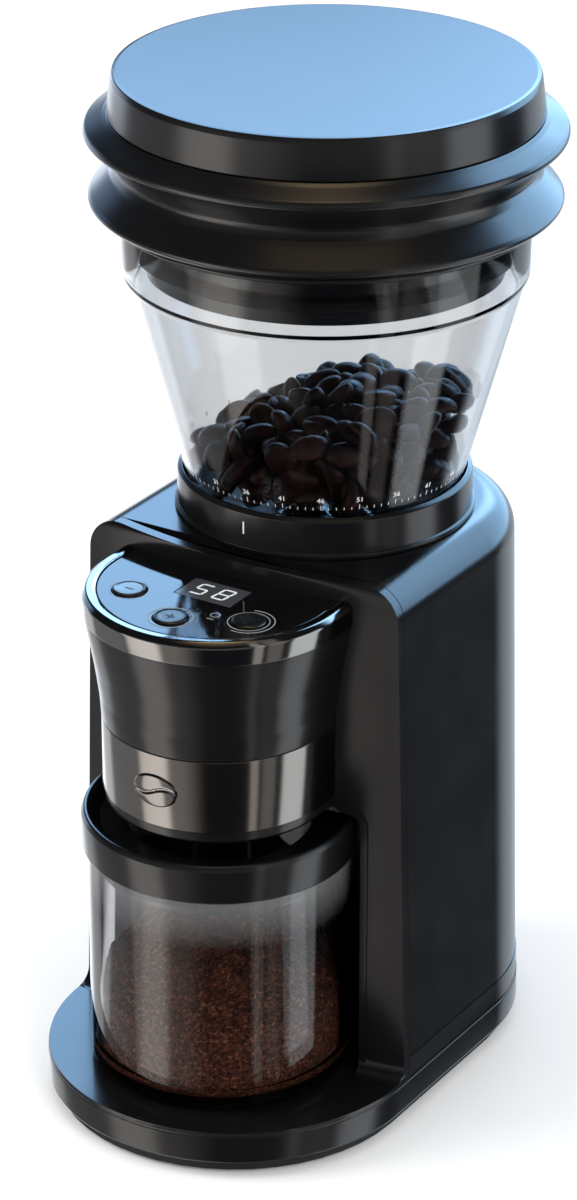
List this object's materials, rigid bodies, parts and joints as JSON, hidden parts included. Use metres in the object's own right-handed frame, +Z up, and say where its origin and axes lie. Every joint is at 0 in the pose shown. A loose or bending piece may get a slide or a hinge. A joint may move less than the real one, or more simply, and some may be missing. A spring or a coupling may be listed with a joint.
{
  "type": "burr coffee grinder",
  "caption": "Electric conical burr coffee grinder with a clear bean hopper, a bellows lid, a control head with push buttons and a clear grounds jar on a round-fronted base.",
  "frame": {"origin": "centre of the bounding box, at the level the feet stand on", "axes": "+Z up, the controls and the jar face -Y, +X is to the right seen from the front"},
  "size_m": [0.1554, 0.1965, 0.3415],
  "materials": {
    "body_black": "satin black moulding",
    "lid_black": "satin black moulding",
    "bellows_rubber": "satin black silicone",
    "foot_rubber": "matt black rubber",
    "trim_chrome": "polished",
    "band_steel": "fine brushed round the band",
    "panel_gloss": "piano black",
    "display_glass": "smoked window",
    "display_smoke": "grey digit block",
    "button_metal": "satin plated",
    "circuit_board": "green solder mask",
    "clear_plastic": "clear, polished",
    "burr_steel": "ground steel",
    "machine_steel": "turned",
    "cast_zinc": "as cast",
    "gear_nylon": "natural nylon",
    "motor_can": "zinc plated"
  },
  "bodies": {
    "housing": {"band_badge": "trim_chrome", "base_plate": "foot_rubber", "base_screw_1": "machine_steel", "base_screw_2": "machine_steel", "base_screw_3": "machine_steel", "base_screw_4": "machine_steel", "base_tray": "body_black", "body_shell": "body_black", "chassis": "cast_zinc", "control_board": "circuit_board", "control_panel": "panel_gloss", "cord_gland": "foot_rubber", "display_module": "display_smoke", "display_window": "display_glass", "foot_1": "foot_rubber", "foot_2": "foot_rubber", "foot_3": "foot_rubber", "foot_4": "foot_rubber", "front_panel": "body_black", "grind_chamber": "cast_zinc", "head_bottom_ring": "body_black", "head_shell": "body_black", "hopper_seat": "body_black", "intermediate_pin": "machine_steel", "lower_bearing": "machine_steel", "motor": "motor_can", "motor_screw_1": "machine_steel", "motor_screw_2": "machine_steel", "power_board": "circuit_board", "spout": "foot_rubber", "steel_band": "band_steel", "trim_ring": "trim_chrome", "upper_bearing": "machine_steel"},
    "lid": {"lid_ring": "body_black", "lid_gasket": "foot_rubber"},
    "lid_cap": {"lid_cap": "lid_black", "bellows": "bellows_rubber"},
    "hopper": {"hopper": "clear_plastic", "hopper_funnel": "body_black", "bean_guard": "burr_steel"},
    "burr_carrier": {"burr_carrier": "cast_zinc", "ring_burr": "burr_steel"},
    "burr_shaft": {"final_gear": "gear_nylon", "drive_shaft": "machine_steel", "sweeper": "gear_nylon", "cone_burr": "burr_steel", "burr_screw": "machine_steel"},
    "intermediate": {"intermediate_gear": "gear_nylon"},
    "motor_rotor": {"motor_pinion": "machine_steel", "motor_shaft": "machine_steel"},
    "jar": {"jar": "clear_plastic", "jar_collar": "body_black", "jar_gasket": "foot_rubber"},
    "minus": {"button_minus": "button_metal"},
    "plus": {"button_plus": "button_metal"},
    "start": {"button_start": "button_metal"}
  },
  "joints": [
    {"name": "grind_dial", "type": "hinge", "parent": "housing", "child": "hopper", "pos_m": [0, 0.0205, 0.2], "axis": [0, 0, 1], "range_deg": [-100, 100]},
    {"name": "burr_lift", "type": "slide", "parent": "housing", "child": "burr_carrier", "axis": [0, 0, 1], "range_m": [-0.00067, 0.00067]},
    {"name": "burr_spin", "type": "hinge", "parent": "housing", "child": "burr_shaft", "pos_m": [0, 0.0205, 0.128], "axis": [0, 0, 1], "continuous": true},
    {"name": "intermediate_spin", "type": "hinge", "parent": "housing", "child": "intermediate", "pos_m": [0.02327, 0.04664, 0.124], "axis": [0, 0, 1], "continuous": true},
    {"name": "motor_spin", "type": "hinge", "parent": "housing", "child": "motor_rotor", "pos_m": [0, 0.0525, 0.12], "axis": [0, 0, 1], "continuous": true},
    {"name": "jar_pull", "type": "slide", "parent": "housing", "child": "jar", "axis": [0, -1, 0], "range_m": [0, 0.12]},
    {"name": "lid_lift", "type": "slide", "parent": "hopper", "child": "lid", "axis": [0, 0, 1], "range_m": [0, 0.06]},
    {"name": "lid_pump", "type": "slide", "parent": "lid", "child": "lid_cap", "axis": [0, 0, -1], "range_m": [0, 0.013], "stiffness_N_per_m": 400, "deforming": ["bellows"]},
    {"name": "minus_press", "type": "slide", "parent": "housing", "child": "minus", "axis": [0, 0, -1], "range_m": [0, 0.0009], "stiffness_N_per_m": 900},
    {"name": "plus_press", "type": "slide", "parent": "housing", "child": "plus", "axis": [0, 0, -1], "range_m": [0, 0.0009], "stiffness_N_per_m": 900},
    {"name": "start_press", "type": "slide", "parent": "housing", "child": "start", "axis": [0, 0, -1], "range_m": [0, 0.0009], "stiffness_N_per_m": 900}
  ],
  "couplings": [
    {"joint": "burr_lift", "follows": "grind_dial", "m_per_rad": 0.00038},
    {"joint": "intermediate_spin", "follows": "burr_spin", "ratio": -3},
    {"joint": "motor_spin", "follows": "burr_spin", "ratio": 9}
  ]
}
